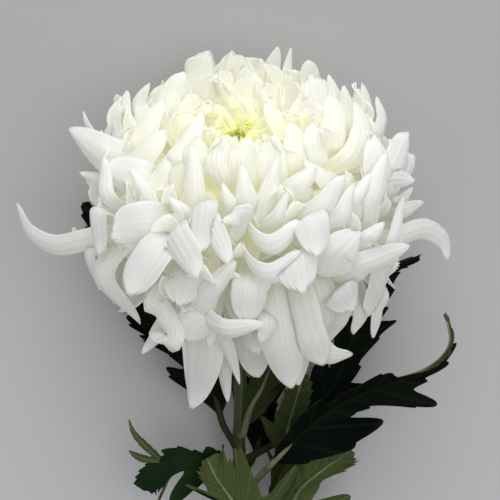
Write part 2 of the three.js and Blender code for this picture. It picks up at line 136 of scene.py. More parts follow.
class Shade:
    """A value or colour of the finish being mixed. Arithmetic on it adds the nodes that do it."""

    tree = None

    def __init__(self, socket):
        self.socket = socket

    @classmethod
    def node(cls, kind, settings=(), sockets=(), output=0):
        made = cls.tree.nodes.new("ShaderNode" + kind)
        for key, value in dict(settings).items():
            setattr(made, key, value)
        for key, value in dict(sockets).items():
            if isinstance(value, Shade):
                cls.tree.links.new(value.socket, made.inputs[key])
            else:
                made.inputs[key].default_value = value
        return cls(made.outputs[output])

    def maths(self, operation, *others):
        return self.node("Math", {"operation": operation}, dict(enumerate([self, *others])))

    def __add__(self, other):
        return self.maths("ADD", other)

    def __sub__(self, other):
        return self.maths("SUBTRACT", other)

    def __mul__(self, other):
        return self.maths("MULTIPLY", other)

    def __radd__(self, other):
        return self + other

    def __rmul__(self, other):
        return self * other

    def __rsub__(self, other):
        return self.node("Math", {"operation": "SUBTRACT"}, {0: other, 1: self})

    def __abs__(self):
        return self.maths("ABSOLUTE")

    def clear(self):
        """Kept between 0 and 1."""
        return self.node("Clamp", {}, {"Value": self})

    def rise(self, start, end):
        """0 at start and 1 at end, with a soft change between."""
        settings = {"interpolation_type": "SMOOTHSTEP"}
        return self.node("MapRange", settings, {"Value": self, "From Min": start, "From Max": end})


def blend(a, b, share):
    """Colour a turned into colour b by a share."""
    a, b = [c if isinstance(c, Shade) else (*c, 1) for c in (a, b)]
    return Shade.node("Mix", {"data_type": "RGBA"}, {0: share, 6: a, 7: b}, output=2)


def attribute(name, output):
    return Shade.node("Attribute", {"attribute_name": name}, output=output)


def growth_marks():
    """The three numbers that each corner was grown with, and its piece's own number."""
    marks = attribute("growth", "Vector")
    parts = [Shade.node("SeparateXYZ", {}, {0: marks}, output=k) for k in range(3)]
    return [*parts, attribute("own", "Fac")]


def place(x, y, z):
    return Shade.node("CombineXYZ", {}, {0: x, 1: y, 2: z})


def grain(at, scale, detail=3):
    return Shade.node("TexNoise", {}, {"Vector": at, "Scale": scale, "Detail": detail})


def finish(name, mixed, constants):
    """A material: mixed() gives the sockets that vary over the surface, in the new tree."""
    made = bpy.data.materials.new(name)
    made.use_nodes = True
    Shade.tree = made.node_tree
    shader = made.node_tree.nodes["Principled BSDF"]
    for key, value in constants.items():
        shader.inputs[key].default_value = value
    for key, value in mixed().items():
        made.node_tree.links.new(value.socket, shader.inputs[key])
    return made


def bump(height, strength, distance):
    return Shade.node("Bump", {}, {"Strength": strength, "Distance": distance, "Height": height})


def stem_skin():
    share, turn, centre, own = growth_marks()
    object_place = Shade.node("TexCoord", output="Object")
    # painted light: the ridge tops are painted lighter green than the grooves, as light falls on them; the
    # streaks along it are the stem's own colour
    ridge = (turn * STEM["ridges"]).maths("COSINE") * 0.5 + 0.5
    streak = grain(place(turn * 3.2, share * 30, own), 3.0)
    mottle = grain(object_place, 140.0)
    streaks_and_painted_ridge_light = (streak * 0.9 + ridge * 0.35 - 0.25).clear()
    green = blend((0.017, 0.025, 0.009), (0.066, 0.09, 0.03), streaks_and_painted_ridge_light)
    bronzed = blend(green, (0.09, 0.05, 0.03), (mottle.rise(0.5, 0.8) * 0.45).clear())
    pith = blend(bronzed, (0.55, 0.58, 0.42), centre.rise(0.2, 0.6))
    fibres = bump(streak * 0.6 + mottle * 0.4, 0.5, 0.0004)
    return {"Base Color": pith, "Roughness": 0.5 + mottle * 0.2, "Normal": fibres}


stem_green = finish("ridged_stem_skin", stem_skin, {"Subsurface Weight": 0.05, "Specular IOR Level": 0.4})


def stem_radius(share, angle):
    """Five rounded ridges, a little wander, and a swelling at each leaf."""
    ridge = STEM["ridge"] * (0.5 - 0.5 * np.cos(STEM["ridges"] * angle))
    node = sum(np.exp(-(((share - root) / 0.006) ** 2)) for root in LEAF_ROOTS)
    wander = 0.06 * np.sin(share * 91) + 0.05 * np.sin(share * 37 + angle)
    return STEM["radius"] - ridge + 0.32 * node + wander * smooth(share / 0.05)


stem_part = tube(stem_path, np.linspace(0, 1, 260), stem_radius, 0.0)
piece("ridged_stem", [stem_part], stem_green, "stem", "stem")

# ---------------------------------------------------------------- the leaves
# Thin lobed blades on channelled stalks, grown singly round the stem: dark green and dull-glossy above, pale
# grey-green below, with a stout pale midrib. Each blade is folded along its midrib and toothed. Most blades
# carry painted shade where they lay in shadow: near black above, and some dark below or on the stalk.

# Each leaf: the way of its midrib, across, along the stem and away from the table from the heart, and the
# half widths of its blade. The rest is as MOST_LEAVES says, but for what its own row names.
LEAVES = [
    {
        "way": [(20, -95, 6), (37, -80, 6), (55, -70, 9), (71, -62, 12), (77, -49, 20), (74, -35, 24)],
        "half": (12, 27),
        "face": (-10, -6, 120),
        "fold": (30, 2),
        "tip": 0.45,
        "own": 0.5,
    },
    {
        "way": [
            (22, -100, -16), (36, -82, -18), (43, -63, -19), (50, -46, -19), (57, -32, -17),
            (69, -25, -14),
        ],
        "half": (21, 22),
        "face": (0, 0, 60),
        "forward": 1.1,
    },
    {
        "way": [(16, -124, -8), (17, -98, -7), (19, -88, -6), (23, -71, -4)],
        "half": (20, 19),
        "face": (172, 176, 185),
        "forward": 0.9,
        "own": 0.34,
    },
    {
        "way": [(15, -132, -2), (22, -119, 1), (29, -111, 3), (42, -101, 2)],
        "half": (25, 24),
        "face": (175, 178, 180),
        "own": 0.4,
    },
    {
        "way": [(-8, -113, -6), (-16, -106, 0), (-26, -103, 4), (-37, -109, 2), (-44, -120, -3)],
        "half": (31, 9),
        "forward": 0.7,
        "own": 1,
        "curled": [
            [(-34, -105, 4), (-38, -96, 12), (-42, -87, 18), (-44, -79, 22)],
            [(-34, -106, 4), (-40, -102, 9), (-45, -96, 14)],
        ],
    },
    {
        "way": [(-9, -98, -14), (-13, -86, -17), (-26, -66, -18), (-38, -53, -19), (-50, -43, -19)],
        "half": (17, 16),
    },
    {
        "way": [(-23, -69, -24), (-47, -44, -32), (-65, -9, -33)],
        "half": (15, 15),
        "face": (20, 20, 20),
    },
    {
        "way": [(3, -116, -20), (7, -103, -24), (8, -86, -28), (9, -68, -32)],
        "half": (17, 19),
        "forward": 1,
    },
    {
        "way": [(0, -132, 3), (-5, -120, 9), (-11, -110, 10), (-15, -103, 6)],
        "half": (30, 22),
        "face": (180, 180, 180),
        "own": 0.4,
    },
    {
        "way": [(-1, -101, -11), (2, -90, -13), (7, -81, -15), (12, -69, -20)],
        "half": (16, 17),
        "face": (175, 180, 180),
        "own": 0.3,
    },
]
MOST_LEAVES = {
    "face": (0, 0, 0),  # how its upper side is turned, at its foot, middle and tip
    "fold": (12, 12),  # how far each half is folded up along the midrib
    "forward": 1.5,  # how far its lobes point forward
    "tip": 1,  # the width of its outer half, as a share of the usual
    "own": 0.1,  # painted shade: near black above under 0.6, green over it; dark below near 0.3; dark stalk under 0.5
    "curled": [],  # the ways of any lobes that have curled up
}
TEETH = 11
LOBES = [(0, 0.28, 1.0), (0.28, 0.56, 0.76), (0.56, 1, 0.32)]  # where each starts and ends, and its reach
STALK_SHARE = 0.24
TABLE_SOFTNESS = 2


def mix(a, b, share):
    return a + (b - a) * share


def draw(number, kind):
    """A repeatable draw from 0 to 1, by the number of a leaf or floret and the kind of draw."""
    x = math.sin(number * 12.9898 + kind * 78.233) * 43758.5453
    return x - math.floor(x)


def spread(number, kind, most):
    """A repeatable draw from -most to most."""
    return (2 * draw(number, kind) - 1) * most


def by_stem(point):
    return HEART + point[0] * RIGHT + point[1] * STEM_WAY + point[2] * AWAY


def threaded(knots):
    """A smooth curve through knots, finely drawn."""
    knots = np.array([2 * knots[0] - knots[1], *knots, 2 * knots[-1] - knots[-2]])
    t = np.linspace(0, 1, 60, endpoint=False)[:, None]
    spans = []
    for a, b, c, d in zip(knots, knots[1:], knots[2:], knots[3:]):
        bend = (2 * a - 5 * b + 4 * c - d) * t**2 + (3 * b - a - 3 * c + d) * t**3
        spans.append(0.5 * (2 * b + (c - a) * t + bend))
    return np.concatenate([*spans, knots[-2:-1]])


def on_table(points, lowest):
    """Where points come to lie once the table holds them up, softly."""
    over = (points[..., 2] - lowest) / TABLE_SOFTNESS
    points[..., 2] = lowest + TABLE_SOFTNESS * np.logaddexp(0, over)
    return points


def turned_about(v, axis, angle):
    """v turned about an axis by an angle for each row."""
    angle = np.broadcast_to(np.radians(angle), v.shape[:-1])[..., None]
    dot = (v * axis).sum(-1, keepdims=True)
    return v * np.cos(angle) + np.cross(axis, v) * np.sin(angle) + axis * dot * (1 - np.cos(angle))


def shell(grid, thickness, growth, own, sided=False):
    """A closed sheet round a grid of midpoints, thin all round its edge."""
    along, across = np.gradient(grid, axis=0), np.gradient(grid, axis=1)
    lift = unit(np.cross(along, across)) * (np.asarray(thickness) / 2)[..., None]
    rows, columns = grid.shape[:2]
    index = np.arange(rows * columns).reshape(rows, columns)
    over = np.stack([index[:-1, :-1], index[1:, :-1], index[1:, 1:], index[:-1, 1:]], axis=-1).reshape(-1, 4)
    below = over[:, ::-1] + rows * columns
    edge = np.concatenate([index[0, :-1], index[:-1, -1], index[-1, :0:-1], index[:0:-1, 0]])
    after = np.roll(edge, -1)
    rim = np.stack([edge, after, after + rows * columns, edge + rows * columns], axis=-1)
    corners = np.concatenate([(grid + lift).reshape(-1, 3), (grid - lift).reshape(-1, 3)])
    marks = growth.reshape(-1, 3)
    under = marks * [1, 1, -1] if sided else marks
    quads = np.concatenate([over, below, rim])
    return {"corners": corners, "quads": quads, "growth": np.concatenate([marks, under]), "own": own}


def lobed(s):
    """Half of a blade's width along it, as a share of its widest: lobes that point forward."""
    width = 0.3 * np.sin(math.pi * s) ** 0.5
    for start, end, reach in LOBES:
        q = np.clip((s - start) / (end - start), 0, 1)
        lobe = (q + 0.5) ** 0.4 * (1 - q**2) ** 0.6 if end == 1 else q**0.8 * (1 - q**8)
        width = np.maximum(width, reach * lobe * (q > 0))
    return width


def blade_part(middle, blade, sides, face, fold, forward, own):
    """The sheet of a blade on both sides of its midrib."""
    along = unit(np.gradient(middle, axis=0))
    facing = unit(AWAY - (along @ AWAY)[:, None] * along)
    facing = turned_about(facing, along, face)
    across = np.cross(along, facing)
    u = np.linspace(-1, 1, 21)
    reach = np.where(u < 0, sides[0][:, None], sides[1][:, None])
    x = reach * u
    forward = forward * mix(0.35, 1, smooth(blade / 0.3)) * mix(1, 0.3, smooth((blade - 0.7) / 0.3))
    ahead = forward[:, None] * np.abs(x) * (0.85 + 0.15 * np.abs(u))
    tilt = np.radians(np.where(u < 0, *fold)) + np.abs(x) * 0.015
    swell = np.cos(2 * math.pi * TEETH * (blade[:, None] - 0.5 / TEETH)) * 0.22 * np.sin(math.pi * np.abs(u))
    wave = 0.08 * reach * np.sin(blade[:, None] * 17 + 2.2 * np.sign(u) + 20 * own) * u**2
    height = np.abs(x) * np.sin(tilt) + swell * np.minimum(1, reach / 8) + wave
    grid = middle[:, None] + across[:, None] * (x * np.cos(tilt))[..., None]
    grid = grid + along[:, None] * ahead[..., None] + facing[:, None] * height[..., None]
    grid = on_table(grid, 1)
    growth = np.stack([blade[:, None] + 0 * x, x, -np.ones_like(x)], axis=-1)
    return shell(grid, 0.42 - 0.2 * np.abs(u) ** 3 + 0 * x, growth, own, sided=True)


def leaf_parts(k):
    """A blade, the round stalk that runs on along it as its midrib, and any lobes that have curled up."""
    leaf = {**MOST_LEAVES, **LEAVES[k]}
    root = spaced(stem_path, np.array([LEAF_ROOTS[k]]))[0]
    spine = threaded([root, *(by_stem(point) for point in leaf["way"])])
    blade = np.linspace(0, 1, 12 * TEETH + 1)
    sides = []
    for side, half in zip((-1, 1), leaf["half"]):
        tooth = (blade * TEETH + 0.15 * side + spread(k, 31, 0.1)) % 1
        saw = (0.1 * half * lobed(blade) + 1.2) * tooth**1.6 * (1 - tooth**12)
        broad = half * lobed(blade) * mix(1, leaf["tip"], smooth((blade - 0.45) / 0.2))
        uneven = 0.94 + 0.08 * np.sin(blade * 9 + 2 * side + k)
        sides.append(np.maximum(1.0, broad * uneven + saw) * smooth((1 - blade) / 0.03 + 0.1))
    face = np.interp(blade, [0, 0.5, 1], leaf["face"])
    middle = spaced(spine, mix(STALK_SHARE * 0.86, 1, blade))
    own = leaf["own"]
    parts = [blade_part(middle, blade, sides, face, leaf["fold"], leaf["forward"], own)]
    for way in leaf["curled"]:
        strip = np.linspace(0, 1, 49)
        narrow = 3.2 * (strip + 0.15) ** 0.3 * (1.002 - strip) ** 0.6 * (0.9 + 0.2 * (strip * 6 % 1) ** 2)
        middle = spaced(threaded([by_stem(point) for point in way]), strip)
        turned = 180 + 60 * strip
        parts.append(blade_part(middle, 0.7 + 0.3 * strip, [narrow, narrow], turned, (40, 40), 1, own))
    at = np.linspace(0.0, 0.985, 90)
    rib = spaced(spine, at)

    def stout(share, angle):
        tapered = mix(1.35, 0.3, smooth((share - 0.1) / 0.9))
        swollen = 0.7 * np.exp(-((share / 0.05) ** 2))
        return tapered + swollen + 0.08 * np.cos(4 * angle)

    along = unit(np.gradient(rib, axis=0))
    facing = unit(AWAY - (along @ AWAY)[:, None] * along)
    facing = turned_about(facing, along, np.interp(at, [STALK_SHARE, 0.6, 1], leaf["face"]))
    sunk = 1.15 * mix(1.35, 0.3, at) * smooth((at - STALK_SHARE) / 0.1)
    rib = on_table(rib - facing * sunk[:, None], 1.2)
    stalk = tube(rib, at, stout, own, sides=14)
    stalk["growth"] = stalk["growth"] * [0, 0, 0] + [-1, 0, 0]  # -1 marks it as stalk
    return [*parts, stalk]


def leaf_skin():
    blade, x, side, own = growth_marks()
    object_place = Shade.node("TexCoord", output="Object")
    row = (blade * TEETH).maths("FRACT") - 0.5
    vein = 1 - abs(row).rise(0.03, 0.12)
    midrib = 1 - abs(x).rise(0.35, 0.9)
    cells = {"Vector": object_place, "Scale": 520.0}
    net = Shade.node("TexVoronoi", {"feature": "DISTANCE_TO_EDGE"}, cells)
    fine = 1 - net.rise(0.0, 0.09)
    cloud = grain(object_place, 60.0)
    ribs = (vein * 0.8 + midrib * 1.1 + fine * 0.22).clear()
    # painted shade: unless its own number nears 1, the upper side is near black, darker than the leaf's
    # green, where it lay in shadow
    upper = blend((0.001, 0.0015, 0.001), (0.003, 0.006, 0.003), cloud)
    upper = blend(upper, blend((0.004, 0.013, 0.003), (0.011, 0.034, 0.009), cloud), own.rise(0.6, 1))
    upper = blend(upper, (0.04, 0.08, 0.04), ribs * 0.07)
    lower = blend((0.035, 0.05, 0.015), (0.085, 0.11, 0.036), cloud)
    lower = blend(lower, (0.2, 0.24, 0.11), ribs * 0.26)
    # painted shade: the lower side of a leaf whose own number is near 0.3 is darkened, where it lay in shadow
    lower = blend((0.015, 0.022, 0.008), lower, abs(own - 0.3).rise(0.03, 0.06) * 0.8 + 0.2)
    colour = blend(lower, upper, side.rise(-0.2, 0.2))
    stalk = blend((0.12, 0.14, 0.07), (0.28, 0.3, 0.18), cloud.rise(0.35, 0.65))
    # painted shade: the stalks of leaves whose own number is under 0.5 are darkened, where they lay in shadow
    stalk = blend((0.03, 0.035, 0.015), stalk, own.rise(0.1, 0.5))
    colour = blend(colour, stalk, 1 - blade.rise(-0.6, -0.3))
    raised = bump(1 - ribs, 0.45, 0.0006)
    return {"Base Color": colour, "Roughness": 0.5 + cloud * 0.25, "Normal": raised}


leaf_green = finish("leaf_skin", leaf_skin, {"Subsurface Weight": 0.01, "Specular IOR Level": 0.05})
for k in range(len(LEAVES)):
    piece(f"toothed_leaf_{k + 1}", leaf_parts(k), leaf_green, "leaf", f"leaf_{k + 1}")

# ---------------------------------------------------------------- the receptacle and its bracts
# The stem's end widens into a fleshy dome that all the florets stand on. Green bracts with thin papery
# edges overlap below it, as they did round the bud.

GOLDEN_ANGLE = 137.508
DOME = 12.6
BRACTS = 26


def ring_frame(hang):
    axis = unit(mix(BLOOM_WAY, STEM_WAY, hang))
    return axis, np.cross(RIGHT, axis)


def leaning(ring, lean, azimuth):
    """A direction: lean 0 is up the ring's axis and 90 straight out, azimuth 0 is to the right."""
    axis, front = ring
    lean, azimuth = np.radians(lean), np.radians(azimuth)
    flat = RIGHT * np.cos(azimuth)[..., None] + front * np.sin(azimuth)[..., None]
    return axis * np.cos(lean)[..., None] + flat * np.sin(lean)[..., None]


def ring_point(ring, radius, height, azimuth):
    out = leaning(ring, np.float64(90), np.asarray(azimuth, float))
    return HEART + out * np.asarray(radius, float)[..., None] + ring[0] * np.asarray(height, float)[..., None]


def receptacle_part():
    up = np.linspace(90, -50, 22)
    dome = [(DOME * math.cos(math.radians(a)), DOME * math.sin(math.radians(a))) for a in up]
    foot = [(9.2, -12), (8.6, -13.5), (7.2, -15.5), (5.2, -17.3), (3.4, -18.8), (2.5, -20.5)]
    profile = np.array([(max(r, 0.02), h) for r, h in dome] + foot)
    turn = np.linspace(0, 360, 64, endpoint=False)
    radius = profile[:, :1] * (1 + 0.03 * np.cos(np.radians(turn) * 13))
    grid = ring_point(ring_frame(0), radius, profile[:, 1:] + 0 * radius, turn + 0 * radius)
    rows, sides = grid.shape[:2]
    index = np.arange(rows * sides).reshape(rows, sides)
    after = np.roll(index, -1, axis=1)
    quads = np.stack([index[:-1], index[1:], after[1:], after[:-1]], axis=-1).reshape(-1, 4)
    caps = [[index[0, j], after[0, j], rows * sides, rows * sides] for j in range(sides)]
    caps += [[index[-1, j], rows * sides + 1, after[-1, j], after[-1, j]] for j in range(sides)]
    ends = np.stack([grid[0].mean(0), grid[-1].mean(0)])
    corners = np.concatenate([grid.reshape(-1, 3), ends])
    heights = np.stack([profile[:, 1:] + 0 * radius] * 3, axis=-1).reshape(-1, 3)
    growth = np.concatenate([heights, np.zeros((2, 3))])
    return {"corners": corners, "quads": np.concatenate([quads, caps]), "growth": growth, "own": 0.5}


def bract_part(i):
    """A scale from the foot of the receptacle up to its rim, cupped round it."""
    tier = i // (BRACTS // 2)
    azimuth = i * GOLDEN_ANGLE
    t = np.linspace(0, 1, 14)
    u = np.linspace(-1, 1, 9)
    radius = mix(4.4, 12.4 + 2.6 * tier, t**0.8) + 0.4 * tier + 0.7
    height = -18.6 + 7.4 * t**1.6 - 0.5 * tier - 1.2 * smooth((t - 0.8) / 0.2)
    half = (2.9 + 0.4 * tier) * np.sin(math.pi * (0.12 + 0.88 * t)) ** 0.7 * (1 - 0.55 * t**3) + 0.12
    turn = np.degrees(half[:, None] * u / radius[:, None])
    cupped = radius[:, None] - 0.5 * u**2
    grid = ring_point(ring_frame(0), cupped, height[:, None] + 0 * cupped, azimuth + turn)
    growth = np.stack([t[:, None] + 0 * cupped, u + 0 * cupped, 0 * cupped], axis=-1)
    return shell(grid[:, ::-1], 0.5 - 0.3 * np.abs(u) + 0 * cupped, growth, draw(i, 41))


def bract_skin():
    t, u, height, own = growth_marks()
    cloud = grain(Shade.node("TexCoord", output="Object"), 220.0)
    green = blend((0.05, 0.075, 0.025), (0.13, 0.17, 0.06), cloud)
    papery = blend(green, (0.4, 0.34, 0.2), abs(u).rise(0.72, 0.98) * t.rise(0.2, 0.7))
    return {"Base Color": papery, "Roughness": 0.5 + cloud * 0.2, "Normal": bump(cloud, 0.3, 0.0003)}


bract_green = finish("bract_skin", bract_skin, {"Subsurface Weight": 0.05})
receptacle_parts = [receptacle_part()] + [bract_part(i) for i in range(BRACTS)]
piece("receptacle_and_bracts", receptacle_parts, bract_green, "stem")

# ---------------------------------------------------------------- ray florets
# Each "petal" is a whole small flower: a strap of soft, waxy white tissue, a tube at its foot and a boat at
# its tip, finely veined, and creamy where no light came. They stand on the dome in a golden-angle spiral,
# and the oldest, which hang behind, are the broadest and flattest.

FLORETS = 184
SEAT_RADIUS = 13  # they start on the skin of the dome
HABITS = {  # how a floret stands, by its rank from the youngest, 0, to the oldest, 1
    "rank": [0, 0.05, 0.14, 0.28, 0.45, 0.65, 0.84, 1],
    "seat": [12, 25, 40, 55, 70, 86, 98, 112],
    "reach": [12, 20, 32, 47, 58, 64, 59, 48],
    "height": [42, 49, 49, 40, 24, 2, -32, -62],
    "start": [10, 18, 30, 50, 70, 88, 96, 102],
    "tip": [-60, -55, -35, -18, -5, 35, 135, 172],
    "width": [6, 8, 10, 11.5, 12, 12.5, 14.5, 15.5],
    "roll": [110, 100, 95, 95, 110, 115, 85, 65],
    "hang": [0, 0, 0, 0, 0.05, 0.2, 0.4, 0.45],
}
SHOWN = -0.1  # what in_front() says of the last florets that show
RINGS = {"skirt_florets": (0.7, 1.0), "side_florets": (0.42, 0.7), "crown_florets": (0.0, 0.42)}  # by rank


def spiral_floret(i, shift=0.0):
    """The i-th floret from the heart, with its own small differences. Older ones are looser."""
    rank = (i + 0.5) / FLORETS
    f = {key: float(np.interp(rank, HABITS["rank"], HABITS[key])) for key in HABITS}
    loose = float(smooth((rank - 0.15) / 0.5))
    length = 1 + spread(i, 2, 0.07 + 0.05 * loose)
    f["azimuth"] = i * GOLDEN_ANGLE + spread(i, 1, 5) + shift
    f["reach"] *= length
    f["height"] = f["height"] * length + spread(i, 4, 2 + 4 * loose)
    f["width"] *= 1 + spread(i, 3, 0.14)
    f["tip"] += spread(i, 5, 12 + 38 * loose)
    f["sway"] = spread(i, 6, 6 + 18 * loose)
    f["twist"] = spread(i, 7, 8 + 34 * loose)
    f["roll"] *= 1 + spread(i, 8, 0.3)
    f["seat_reach"] = SEAT_RADIUS * math.sin(math.radians(f["seat"]))
    f["seat_height"] = SEAT_RADIUS * math.cos(math.radians(f["seat"]))
    f["own"] = draw(i, 9)
    return f


def grown_midline(f, t):
    """The curve from a floret's seat on the dome to its tip, and the direction across it."""
    upright, hung = ring_frame(0), ring_frame(f["hang"])
    azimuth = np.float64(f["azimuth"])
    seat = ring_point(upright, f["seat_reach"], f["seat_height"], azimuth)
    tip = ring_point(hung, f["reach"], f["height"], azimuth + f["sway"])
    length = np.linalg.norm(tip - seat)
    leave = seat + 0.4 * length * leaning(upright, np.float64(f["start"]), azimuth)
    arrive = tip - 0.36 * length * leaning(hung, np.float64(f["tip"]), azimuth + 2 * f["sway"])
    return spaced(bezier(seat, leave, arrive, tip), t), leaning(hung, np.float64(90), azimuth + 90)


def floret_part(f, rows=27, columns=13, midline=grown_midline):
    """A floret: a curved midline, and across it an arc that opens and closes along its length."""
    t = np.linspace(0, 1, rows) ** 0.9
    u = np.linspace(-1, 1, columns)
    own, rank = f["own"], f["rank"]
    middle, side = midline(f, t)
    along = unit(np.gradient(middle, axis=0))
    across = unit(side - (along @ side)[:, None] * along)
    across = turned_about(across, along, f["twist"] * t)
    inward = np.cross(along, across)
    lean = (draw(own * 91, 2) - 0.5) * f["width"] * 0.5 * smooth((t - 0.45) / 0.55)
    middle = middle + across * lean[:, None]

    # its width, and how far it is rolled up
    pointed = f.get("pointed", smooth((draw(own * 97, 1) - 0.3) / 0.6))
    foot = mix(0.42, 1, smooth(t / mix(0.75, 0.45, pointed)))
    blunt = np.sqrt(1 - (np.maximum(0, t - 0.84) / 0.17) ** 2)
    sharp = (1.005 - np.clip((t - 0.55) / 0.45, 0, 1) ** 2) ** 0.75
    wide = f["width"] * foot * mix(blunt, sharp, pointed)
    boat = 1 + mix(-0.4, 0.35, pointed) * smooth((t - 0.55) / 0.4)
    half = np.radians(f["roll"] * mix(0.8, 1.1, t)) / 2 * boat
    half = np.minimum(half, 1.5)[:, None]
    arc = wide[:, None] / 2 / np.sin(half)
    angle = u * half

    # notches at the tip, ribs along it, and an edge that curls in and out
    notch = 0.08 * np.cos(2.5 * math.pi * u + 6 * own) ** 2 * (np.abs(u) < 0.8)
    short = smooth((t[:, None] - 0.75) / 0.25) * (1 - pointed) * (0.12 * u**2 + notch) * f["width"]
    ribs = mix(0.06, 0.22, own) * np.cos(mix(3.2, 5.2, own) * math.pi * (u + 0.1 * own))
    ribs = ribs * smooth(t[:, None] / 0.3) * smooth((1.02 - t[:, None]) / 0.2)
    curl = 0.9 * np.sin(2 * math.pi * (1.3 * t[:, None] + own) + np.sign(u)) * np.abs(u) ** 2.5
    curl = curl * f["width"] / 11 * smooth((t[:, None] - 0.35) / 0.4)

    # the sheet itself, over the table
    aside = arc * np.sin(angle)
    keel = 0.55 * pointed * smooth(t[:, None] / 0.5)
    cupped = mix(1 - np.cos(angle), (1 - np.cos(half)) * np.sqrt(u**2 + 0.02), keel)
    raised = arc * cupped + (ribs + curl) * np.cos(angle)
    grid = middle[:, None] + across[:, None] * aside[..., None] + inward[:, None] * raised[..., None]
    grid = on_table(grid - along[:, None] * short[..., None], mix(3.6, 0.35, rank))
    growth = np.stack([t[:, None] + 0 * aside, u + 0 * aside, rank + 0 * aside], axis=-1)
    thick = mix(0.62, 0.42, t)[:, None] * (1 - 0.45 * np.abs(u) ** 3)
    return shell(grid, thick, growth, own)


def petal_skin():
    t, u, rank, own = growth_marks()
    vein = grain(place(u * 7, t * 0.7, own * 57), 1.0, 2.0)
    fine = grain(place(u * 13, t * 0.8, own * 31), 1.0, 2.0)
    cloud = grain(Shade.node("TexCoord", output="Object"), 90.0)
    streak = vein.rise(0.3, 0.65) * 0.4 + fine.rise(0.35, 0.6) * 0.6
    white = blend((0.865, 0.88, 0.845), (0.945, 0.96, 0.925), streak)
    young = 1 - rank.rise(0.05, 0.7)
    depth = 1 - t.rise(0.05, 0.85)
    cream = (depth * (0.35 + young * 0.6) + young * 0.3 + cloud * 0.1 - 0.05).clear()
    # painted shade: the oldest florets, hanging in the skirt under the bloom, are painted grey
    white = blend(white, (0.67, 0.66, 0.63), rank.rise(0.65, 1.0) * (0.9 - streak * 0.3))
    colour = blend(white, (0.92, 0.89, 0.6), cream)
    yellow = (1 - rank.rise(0.12, 0.26)) * (1 - t.rise(0.5, 1.1))
    colour = blend(colour, (0.9, 0.89, 0.36), yellow)
    lime = (1 - rank.rise(0.0, 0.07)) * 0.5 + (1 - t.rise(0.0, 0.4)) * 0.22
    colour = blend(colour, (0.62, 0.66, 0.13), lime.clear())
    # painted light: the florets glow, warm at their feet and in the young ones, standing in for light that
    # passes through the petals
    painted_glow_share = (1 - t.rise(0.2, 0.9)) * (young * 0.3 + 0.2) + young * 0.38
    painted_glow = blend((0.08, 0.08, 0.05), (1.0, 0.95, 0.6), painted_glow_share)
    # painted light: the edges and tips glow brighter, standing in for light through the thin rims
    edge = (abs(u).rise(0.75, 1.0) + t.rise(0.9, 1.0)).clear()
    painted_glow = blend(painted_glow, (1.0, 1.0, 0.85), edge * (young * 0.1 + 0.3))
    rough = 0.38 + vein * 0.2
    veined = bump(vein * 0.4 + fine * 0.6 + cloud * 0.2, 0.5, 0.0005)
    return {"Base Color": colour, "Roughness": rough, "Emission Color": painted_glow, "Normal": veined}


petal_white = finish(
    "petal_skin",
    petal_skin,
    {
        "Subsurface Weight": 0.7,
        "Subsurface Radius": (1.0, 0.97, 0.85),
        "Subsurface Scale": 0.004,
        "Specular IOR Level": 0.35,
        "Sheen Weight": 0.05,
        # painted light: the strength of the florets' glow
        "Emission Strength": 0.25,
    },
)


def in_front(f):
    """1 for a floret right in front, on the side that the bloom shows, and -1 for one right behind."""
    return math.sin(math.radians(f["azimuth"]))


def is_ray(f):
    """Whether it is one of these: the leading florets, below, stand in the places of the others."""
    oldest = 0.38 if in_front(f) > 0.35 else 0.86 if in_front(f) > SHOWN else 1
    return 0.24 < f["rank"] < oldest


spiral = [f for f in map(spiral_floret, range(FLORETS)) if is_ray(f)]
for f in spiral:
    shorter = 0.9 if f["rank"] < 0.6 else 0.95
    f["reach"], f["height"] = f["reach"] * shorter, f["height"] * shorter
for name, (low, high) in RINGS.items():
    parts = [floret_part(f) for f in spiral if low < f["rank"] <= high]
    piece(name, parts, petal_white, "petal", "bloom")

# ---------------------------------------------------------------- florets between
# Shorter florets of the same kind that grew between the others and never reached the light: they close
# the gaps that one looks into, and are the creamiest.

INNER = 120
BETWEEN = 68  # degrees on from a ray floret: about half the golden angle


def inner_floret(j):
    i = int(mix(0.26, 0.94, (j + 0.5) / INNER) * FLORETS)
    f = spiral_floret(i, shift=BETWEEN + spread(j, 51, 18))
    shorter = mix(0.93, 0.8, draw(j, 52))
    f["reach"] *= shorter
    f["height"] *= mix(1, shorter, 0.8)
    f["width"] *= 0.95
    f["own"] = draw(j, 53)
    return f


inner_parts = [floret_part(inner_floret(j), 20, 9) for j in range(INNER)]
piece("inner_florets", inner_parts, petal_white, "petal", "bloom")

# ---------------------------------------------------------------- the leading florets
# The longest florets on the side that the bloom shows. They push out over the others: some stand up like
# boats, some arch over, some hang and curl.

VIEW_DOWN = 78.5  # degrees
VIEW_WAY = risen(VIEW_DOWN)
VIEW_UP = -risen(VIEW_DOWN + 90)
VIEW_MIDDLE = HEART + RIGHT * 1.9 - VIEW_UP * 17.7
CAMERA_AWAY = 550
FRAME_HALF = 94.25 / CAMERA_AWAY  # half the frame's width, at one unit from the camera
UNITS_HALF = 250  # and in the units that the florets are placed by
BOWL_HEIGHT = 34  # from the heart to the middle of the bowl
OLDEST_AWAY = 85  # from there to the tips of the oldest florets
LEADING_SEAT = 12  # they start just inside the dome
FACING_FROM = 8  # the point up the bloom's axis that they turn their outer sides from


def framed(across, down, near):
    """The point that the camera frames there, in 500 by 500 units, and this much nearer than the heart."""
    reach = (CAMERA_AWAY - near) * FRAME_HALF / UNITS_HALF
    offset = (across - UNITS_HALF) * RIGHT + (UNITS_HALF - down) * VIEW_UP
    return VIEW_MIDDLE + VIEW_WAY * near + offset * reach


